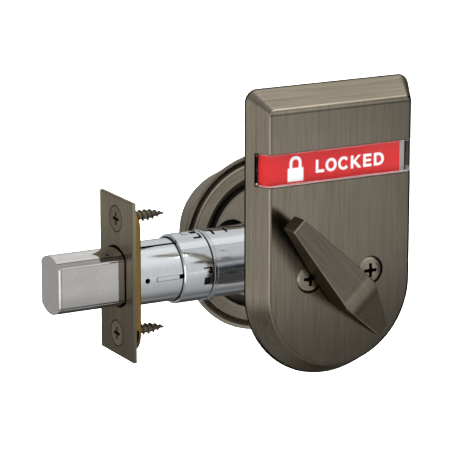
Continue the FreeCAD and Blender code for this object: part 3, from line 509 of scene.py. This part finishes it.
def bolt_relief(m):
    """Height that turns the flats' edges over."""
    x, y, z = m.split(m.co())
    side = m.remap(m.math("ABSOLUTE", m.split(m.normal())[1]), 0.97, 0.99, 0.0, 1.0)
    hz = m.remap(m.math("ABSOLUTE", z), 0.00700, 0.00735, 0.5, 0.0)
    hx = m.remap(x, BOLT_TIP, BOLT_TIP + 0.0007, -1.0, 0.0)
    return mul(m, side, m.math("ADD", hz, hx))


BOLT_TIP = -0.09525
bolt_steel = metal("bolt_steel", (0.65, 0.635, 0.615), (0.74, 0.725, 0.705), 0.075, 0.03, speck=0.6, bump=0.07,
                   within=-0.0683, painted_light=bolt_painted_light, relief=bolt_relief)
bolt_mat = bolt_steel.m
brass_mat = metal("brass", (0.23, 0.128, 0.022), (0.37, 0.215, 0.045), 0.24, 0.05, grain=(0, 0, 1)).m
brass_plug_mat = metal("brass_plug", (0.50, 0.37, 0.17), (0.70, 0.53, 0.28), 0.28, 0.05, grain=(0, 0, 1)).m


# ------------------------------------------------------------------ plastics and print
def plastic(name, base, rough=0.45, var=0.06, bump=0.15, scale=900.0, spec=0.5, coat=0.0):
    m = Mat(name, base, 0.0, rough)
    v = m.co()
    f = m.noise(m.scaled(v, (scale, scale, scale)), 1.0, 3.0, 0.6)
    c = m.noise(m.scaled(v, (60.0, 60.0, 60.0)), 1.0, 2.0, 0.5)
    m.feed(base=m.ramp(c, [(0.25, tuple(x * (1 - var) for x in base)), (0.75, tuple(min(1, x * (1 + var)) for x in base))]))
    m.feed(rough=m.remap(f, 0.25, 0.75, rough - 0.06, rough + 0.06))
    m.feed(normal=m.bump(f, bump, 0.00002))
    m.set(spec=spec)
    if coat:
        m.set(coat=coat, coat_rough=0.08)
    return m.m


red_mat = plastic("red_label", (0.295, 0.005, 0.006), 0.45, 0.05, spec=0.1)
green_mat = plastic("green_label", (0.020, 0.30, 0.10), 0.45, 0.05, spec=0.2)
ink_mat = plastic("white_print", (0.44, 0.45, 0.45), 0.5, 0.02, spec=0.2)
black_mat = plastic("black_plastic", (0.018, 0.018, 0.019), 0.48, 0.10)
carrier_mat = plastic("grey_plastic", (0.105, 0.098, 0.092), 0.40, 0.03)

lens = Mat("clear_lens", (0.99, 0.995, 0.995), 0.0, 0.03).set(trans=1.0, ior=1.02, coat=0.10, coat_rough=0.04)
lv = lens.co()
ln = lens.noise(lens.scaled(lv, (420.0, 420.0, 420.0)), 1.0, 2.0, 0.5)
lens.feed(rough=lens.remap(ln, 0.3, 0.7, 0.015, 0.05), normal=lens.bump(ln, 0.02, 0.00002))
# painted highlight along its cut edges: they are made less clear, so they show as pale lines
lx, ly, lz = lens.split(lv)
rim = lens.smooth(lens.math("ABSOLUTE", lens.math("SUBTRACT", lz, 0.03975)), 0.00538, 0.00552)
lens.t.links.new(lens.remap(rim, 0.0, 1.0, 1.0, 0.88), lens.p.inputs["Transmission Weight"])
lens_mat = lens.m

# ------------------------------------------------------------------ materials to nodes
PAINT = {
    plate_mat: ["interior_plate"], face_mat: ["faceplate"], blade_mat: ["thumbturn"],
    collar_mat: ["exterior_collar"], bore_mat: ["bore_ring"], screw_mat: ["mounting_screws"],
    cast_mat: ["cylinder_housing"], wood_screw_mat: ["faceplate_screws"],
    zinc_mat: ["backset_key", "housing_tab", "housing_end_cap"], tube_mat: ["bolt_tube"],
    collar_zinc_mat: ["backset_collar"], housing_mat: ["rear_housing"],
    back_mat: ["mounting_plate"],
    plated_mat: ["plate_fixing_screws", "spring_washer", "tailpiece", "bolt_carrier", "plug_retainer"],
    hard_mat: ["retaining_clip", "crank_pin", "bolt_roller_pin", "carrier_pins", "carrier_rivets", "pin_springs"],
    cast_zinc_mat: ["turn_spindle", "indicator_crank", "crank_hub"],
    bolt_mat: ["deadbolt_bar"],
    brass_mat: ["bolt_backing_plate", "driver_pins", "key_pins", "chamber_cap"],
    brass_plug_mat: ["cylinder_plug"],
    red_mat: ["locked_label"], green_mat: ["unlocked_label"], lens_mat: ["indicator_lens"],
    black_mat: ["flag_guides", "hub_bushes"], carrier_mat: ["flag_carrier"],
}
for material, names in PAINT.items():
    for n in names:
        me = NODES[n].data
        me.materials.clear()
        me.materials.append(material)
unpainted = set(NODES) - {n for names in PAINT.values() for n in names}
assert not unpainted, unpainted


# ------------------------------------------------------------------ new pieces
def obj_from(name, me, mat, body):
    o = bpy.data.objects.new(name, me)
    bpy.context.scene.collection.objects.link(o)
    me.materials.clear()
    me.materials.append(mat)
    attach(o, body)
    return o


def arc(cx, cz, rx, rz, a0, a1, n=24):
    return [(cx + rx * math.cos(math.radians(a0 + (a1 - a0) * i / n)),
             cz + rz * math.sin(math.radians(a0 + (a1 - a0) * i / n))) for i in range(n + 1)]


def print_mesh(name, shapes, y, depth, mat, body):
    """Flat print on the label: each shape is a list of outlines in mm, x to the right and z up."""
    cu = bpy.data.curves.new(name, "CURVE")
    cu.dimensions = "2D"
    cu.fill_mode = "BOTH"
    cu.extrude = depth * MM / 2
    for outline in shapes:
        sp = cu.splines.new("POLY")
        sp.points.add(len(outline) - 1)
        for p, (x, z) in zip(sp.points, outline):
            p.co = (x * MM, z * MM, 0, 1)
        sp.use_cyclic_u = True
    tmp = bpy.data.objects.new(name + "_outline", cu)
    bpy.context.scene.collection.objects.link(tmp)
    tmp.rotation_euler = (math.radians(90), 0, 0)
    tmp.location = (0, y * MM, 0)
    bpy.context.view_layer.update()
    me = bpy.data.meshes.new_from_object(tmp.evaluated_get(bpy.context.evaluated_depsgraph_get()))
    me.transform(tmp.matrix_world)
    bpy.data.objects.remove(tmp)
    me.name = name
    return obj_from(name, me, mat, body)


def letter(ch, x, w, z0, h, s):
    """Outlines of one plain block capital, w wide and h tall, with strokes s wide."""
    z1, x1 = z0 + h, x + w
    if ch == "L":
        return [[(x, z0), (x1, z0), (x1, z0 + s), (x + s, z0 + s), (x + s, z1), (x, z1)]]
    if ch == "E":
        m0, m1 = z0 + h / 2 - s * 0.46, z0 + h / 2 + s * 0.46
        return [[(x, z0), (x1, z0), (x1, z0 + s * .95), (x + s, z0 + s * .95), (x + s, m0), (x1 - .25, m0),
                 (x1 - .25, m1), (x + s, m1), (x + s, z1 - s * .95), (x1 - .08, z1 - s * .95), (x1 - .08, z1), (x, z1)]]
    if ch == "O":
        cx, cz, o = x + w / 2, z0 + h / 2, 0.09
        return [arc(cx, cz, w / 2, h / 2 + o, 0, 350, 35), arc(cx, cz, w / 2 - s, h / 2 + o - s * .95, 0, 350, 35)]
    if ch == "C":
        cx, cz, o = x + w / 2 + .1, z0 + h / 2, 0.09
        rx = w / 2 + .1
        return [arc(cx, cz, rx, h / 2 + o, 40, 320, 32)
                + arc(cx, cz, rx - s, h / 2 + o - s * .95, 325, 35, 32)]
    if ch == "D":
        r = w * 0.56
        return [[(x, z0), (x1 - r, z0)] + arc(x1 - r, z0 + h / 2, r, h / 2, -86, 86, 22) + [(x1 - r, z1), (x, z1)],
                [(x + s, z0 + s * .95), (x1 - r, z0 + s * .95)]
                + arc(x1 - r, z0 + h / 2, r - s, h / 2 - s * .95, -84, 84, 22) + [(x1 - r, z1 - s * .95), (x + s, z1 - s * .95)]]
    if ch == "K":
        return [[(x, z0), (x + s, z0), (x + s, z0 + h * .30), (x + s + .32, z0 + h * .385), (x1 - s * 1.22, z0), (x1, z0),
                 (x + s + .98, z0 + h * .575), (x1 - .12, z1), (x1 - s * 1.3, z1), (x + s, z0 + h * .585), (x + s, z1), (x, z1)]]
    if ch == "U":
        r = w / 2
        return [[(x, z1)] + arc(x + r, z0 + r, r, r, 180, 360, 22) + [(x1, z1), (x1 - s, z1)]
                + arc(x + r, z0 + r, r - s, r - s * .95, 360, 180, 22) + [(x + s, z1)]]
    if ch == "N":
        return [[(x, z0), (x + s, z0), (x + s, z1 - s * 1.75), (x1 - s * 1.02, z0), (x1, z0), (x1, z1), (x1 - s, z1),
                 (x1 - s, z0 + s * 1.75), (x + s * 1.02, z1), (x, z1)]]
    raise ValueError(ch)


def padlock(cx, z0, w, h, r, top, s, lift=0.0):
    """Outlines of a plain padlock sign: body from z0, shackle to top."""
    body = [(cx - w / 2, z0), (cx + w / 2, z0), (cx + w / 2, z0 + h), (cx - w / 2, z0 + h)]
    zc = top - r
    right = z0 + h - 0.05 if not lift else zc - 0.5
    shackle = [(cx - r, z0 + h - 0.05)] + arc(cx, zc, r, r, 180, 0, 24) + [(cx + r, right), (cx + r - s, right)] \
        + arc(cx, zc, r - s, r - s, 0, 180, 24) + [(cx - r + s, z0 + h - 0.05)]
    return body, shackle


LABEL_Y = -32.85
PRINT_Y = LABEL_Y - 0.02
word = []
for ch, x, w in (("L", -8.85, 3.35), ("O", -4.95, 4.45), ("C", 0.10, 4.25), ("K", 5.25, 4.25), ("E", 10.30, 3.35), ("D", 14.65, 4.05)):
    word += letter(ch, x, w, 36.95, 4.55, 0.98)
print_mesh("locked_word", word, PRINT_Y, 0.04, ink_mat, "flag")
body_shape, shackle_shape = padlock(-16.95, 34.85, 6.2, 4.75, 2.35, 43.75, 1.08)
print_mesh("locked_sign", [body_shape], PRINT_Y, 0.04, ink_mat, "flag")
print_mesh("locked_sign_shackle", [shackle_shape], PRINT_Y, 0.04, ink_mat, "flag")

word = []
x = -10.6
for ch, w in zip("UNLOCKED", (3.2, 3.35, 2.8, 3.75, 3.5, 3.5, 2.8, 3.4)):
    word += letter(ch, x, w, 48.95, 4.3, 0.86)
    x += w + 0.62
print_mesh("unlocked_word", word, PRINT_Y, 0.04, ink_mat, "flag")
body_shape, shackle_shape = padlock(-17.6, 46.95, 6.0, 4.6, 2.25, 56.1, 1.05, lift=1.0)
print_mesh("unlocked_sign", [body_shape], PRINT_Y, 0.04, ink_mat, "flag")
print_mesh("unlocked_sign_shackle", [shackle_shape], PRINT_Y, 0.04, ink_mat, "flag")


# wood screws with a true helical thread; their heads are the solids' own
def wood_screws():
    src = NODES["faceplate_screws"].data
    bm = bmesh.new()
    bm.from_mesh(src)
    cut = -67.4 * MM
    bmesh.ops.bisect_plane(bm, geom=bm.verts[:] + bm.edges[:] + bm.faces[:], plane_co=(cut, 0, 0), plane_no=(1, 0, 0),
                           clear_outer=True)
    for zc in (-20.65, 20.65):
        x0, x_tip, pitch = -67.6, -50.85, 1.92
        core, crest = 1.42, 2.18
        seg, rows = 40, 230
        rings = []
        for i in range(rows + 1):
            xx = x0 + (x_tip - x0) * i / rows
            left = x_tip - xx
            if xx < -66.0:
                taper = 1.0
            else:
                taper = min(1.0, (left / 6.4) ** 0.72) if left > 0 else 0.0
            ring = []
            for j in range(seg):
                a = 2 * math.pi * j / seg
                ph = ((xx - x0) / pitch - a / (2 * math.pi)) % 1.0
                tri = max(0.0, 1.0 - abs(ph - 0.5) / 0.24)
                grow = min(1.0, max(0.0, (xx + 66.6) / 1.6))
                r = (core * (0.92 + 0.08 * taper) * taper + (crest - core) * (tri ** 0.85) * grow * min(1.0, taper * 1.25))
                r = max(r, 0.02)
                ring.append(bm.verts.new((xx * MM, r * math.cos(a) * MM, (zc + r * math.sin(a)) * MM)))
            rings.append(ring)
        for r0, r1 in zip(rings, rings[1:]):
            for j in range(seg):
                bm.faces.new((r0[j], r1[j], r1[(j + 1) % seg], r0[(j + 1) % seg]))
        bm.faces.new(list(reversed(rings[0])))
        bm.faces.new(rings[-1])
    bmesh.ops.recalc_face_normals(bm, faces=bm.faces[:])
    me = bpy.data.meshes.new("wood_screws")
    bm.to_mesh(me)
    bm.free()
    for p in me.polygons:
        p.use_smooth = True
    me.set_sharp_from_angle(angle=math.radians(38))
    o = obj_from("wood_screws", me, wood_screw_mat, "case")
    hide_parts("faceplate_screws")


wood_screws()

# ------------------------------------------------------------------ floor, light and camera
floor_me = bpy.data.meshes.new("floor")
fb = bmesh.new()
bmesh.ops.create_grid(fb, x_segments=8, y_segments=8, size=40)
fb.to_mesh(floor_me)
fb.free()
floor = bpy.data.objects.new("floor", floor_me)
floor.location = (0, 0, -0.13)
bpy.context.scene.collection.objects.link(floor)
fm = Mat("floor_pale", (0.93, 0.93, 0.93), 0.0, 0.8)
fn = fm.noise(fm.scaled(fm.co(), (3.0, 3.0, 3.0)), 1.0, 2.0, 0.5)
fm.feed(base=fm.ramp(fn, [(0.2, (0.925, 0.925, 0.925)), (0.8, (0.94, 0.94, 0.94))]))
fm.set(spec=0.2)
floor_me.materials.append(fm.m)
floor.visible_glossy = False
floor.visible_transmission = True

world = bpy.data.worlds.new("studio")
bpy.context.scene.world = world
world.use_nodes = True
wt = world.node_tree
wt.nodes.clear()


def wn(kind, ins=None, **props):
    node = wt.nodes.new("ShaderNode" + kind)
    for k, v in props.items():
        setattr(node, k, v)
    for k, v in (ins or {}).items():
        if isinstance(v, bpy.types.NodeSocket):
            wt.links.new(v, node.inputs[k])
        else:
            node.inputs[k].default_value = v
    return node


def wmath(op, a, b=0.0):
    return wn("Math", {0: a, 1: b}, operation=op).outputs[0]


def wstep(v, a, b, lo=0.0, hi=1.0):
    return wn("MapRange", {0: v, 1: a, 2: b, 3: lo, 4: hi}, interpolation_type="SMOOTHSTEP").outputs[0]


def wdot(v, d):
    return wn("VectorMath", {0: v, 1: d}, operation="DOT_PRODUCT").outputs["Value"]


def wmix(f, a, b):
    node = wn("Mix", data_type="FLOAT")
    for i, v in ((0, f), (2, a), (3, b)):
        if isinstance(v, bpy.types.NodeSocket):
            wt.links.new(v, node.inputs[i])
        else:
            node.inputs[i].default_value = v
    return node.outputs[0]


def wprofile(v, stops):
    """Brightness round the X axis; stops are (angle from +Y towards +Z in degrees, brightness / 2)."""
    node = wn("ValToRGB", {0: v})
    e = node.color_ramp.elements
    while len(e) < len(stops):
        e.new(1.0)
    for el, (ang, g) in zip(e, stops):
        el.position = (ang + 180.0) / 360.0
        el.color = (g / 2, g / 2, g / 2, 1)
    return wn("SeparateColor", {0: node.outputs[0]}).outputs[0]


direction = wn("TexCoord").outputs["Generated"]
sep = wn("SeparateXYZ", {0: direction}).outputs
turn = wmath("ARCTAN2", sep[2], sep[1])
turn = wn("MapRange", {0: turn, 1: -math.pi, 2: math.pi, 3: 0.0, 4: 1.0}).outputs[0]
RIGHT = [(-180, .64), (-165, .62), (-150, .52), (-130, .45), (-112, .36), (-98, .22), (-88, .14), (-75, .24), (-64, .10),
         (-52, .05), (-25, .06), (-10, .12), (5, .35), (20, .62), (40, .68), (60, .62), (75, .70), (84, .92), (100, .86),
         (125, .90), (138, .86), (150, .74), (160, .66), (180, .64)]
LEFT = [(-180, .45), (-165, .45), (-150, .42), (-130, .40), (-110, .30), (-90, .24), (-67, .18), (-50, .22), (-30, .36),
        (-16, .41), (0, .40), (12, .34), (30, .27), (60, .30), (90, .34), (115, .42), (135, .48), (150, .48), (165, .45),
        (180, .45)]
right = wprofile(turn, RIGHT)
left = wprofile(turn, LEFT)
dome = wmix(wstep(sep[0], -0.25, 0.20), left, right)
dome = wmix(wstep(sep[0], -0.80, -0.96), dome, 0.36)
dome = wmix(wmath("MULTIPLY", wstep(sep[0], 0.74, 0.84), wstep(sep[2], -0.48, -0.36)), dome, 0.05)
# a softbox in front on the left, and a narrow card whose edge shows as a sheen in the window
box_left = wstep(wdot(direction, (-0.783, -0.603, -0.151)), math.cos(math.radians(25)), math.cos(math.radians(17)))
dome = wmath("ADD", dome, wmath("MULTIPLY", box_left, 0.42))
lean = wmath("ADD", sep[0], wmath("MULTIPLY", sep[2], 0.55))
card = wmath("MULTIPLY", wstep(lean, 0.3865, 0.3895), wstep(sep[0], 0.60, 0.66, 1.0, 0.0))
card = wmath("MULTIPLY", card, wmath("MULTIPLY", wstep(sep[2], -0.36, -0.32), wstep(sep[2], -0.12, -0.08, 1.0, 0.0)))
card = wmath("MULTIPLY", card, wstep(sep[1], -0.60, -0.55, 1.0, 0.0))
dome = wmath("ADD", dome, wmath("MULTIPLY", card, 0.30))
bg = wn("Background", {"Color": (1, 1, 1, 1), "Strength": wmath("MULTIPLY", dome, 2.0)})
seen = wn("Background", {"Color": (1, 1, 1, 1), "Strength": 1.0})
which = wn("MixShader", {0: wn("LightPath").outputs["Is Camera Ray"], 1: bg.outputs[0], 2: seen.outputs[0]})
wout = wn("OutputWorld", {"Surface": which.outputs[0]})


def area(name, at, to, size, size_y, power, color=(1, 1, 1)):
    """A soft light on the floor and on matt surfaces; the polished ones mirror the dome."""
    li = bpy.data.lights.new(name, "AREA")
    li.shape = "RECTANGLE"
    li.size, li.size_y = size, size_y
    li.energy = power
    li.color = color
    o = bpy.data.objects.new(name, li)
    bpy.context.scene.collection.objects.link(o)
    o.location = at
    o.rotation_euler = (Vector(to) - Vector(at)).to_track_quat("-Z", "Y").to_euler()
    o.visible_camera = False
    o.visible_glossy = False
    return o


area("front_soft", (0.35, -1.10, 0.75), (0.0, 0.0, 0.0), 0.9, 0.9, 16.0)
area("gap_soft", (-0.30, -0.06, 0.22), (-0.012, 0.02, 0.012), 0.3, 0.3, 1.6)
area("top_floor", (0.0, 0.8, 3.2), (0.0, 2.6, -0.13), 5.0, 5.0, 420.0)

cam_data = bpy.data.cameras.new("camera")
cam = bpy.data.objects.new("camera", cam_data)
bpy.context.scene.collection.objects.link(cam)
az, el = math.radians(28.4532), math.radians(14.0415)
look = Vector((math.sin(az) * math.cos(el), math.cos(az) * math.cos(el), -math.sin(el)))
cam.location = (-0.46855, -0.81537, 0.24520)
cam.rotation_euler = look.to_track_quat("-Z", "Y").to_euler()
cam_data.sensor_width = 36.0
cam_data.lens = 2691.68 / 450 * 36.0
cam_data.clip_start, cam_data.clip_end = 0.01, 200.0
bpy.context.scene.camera = cam

bpy.context.scene.view_settings.view_transform = "Standard"
bpy.context.scene.view_settings.look = "None"
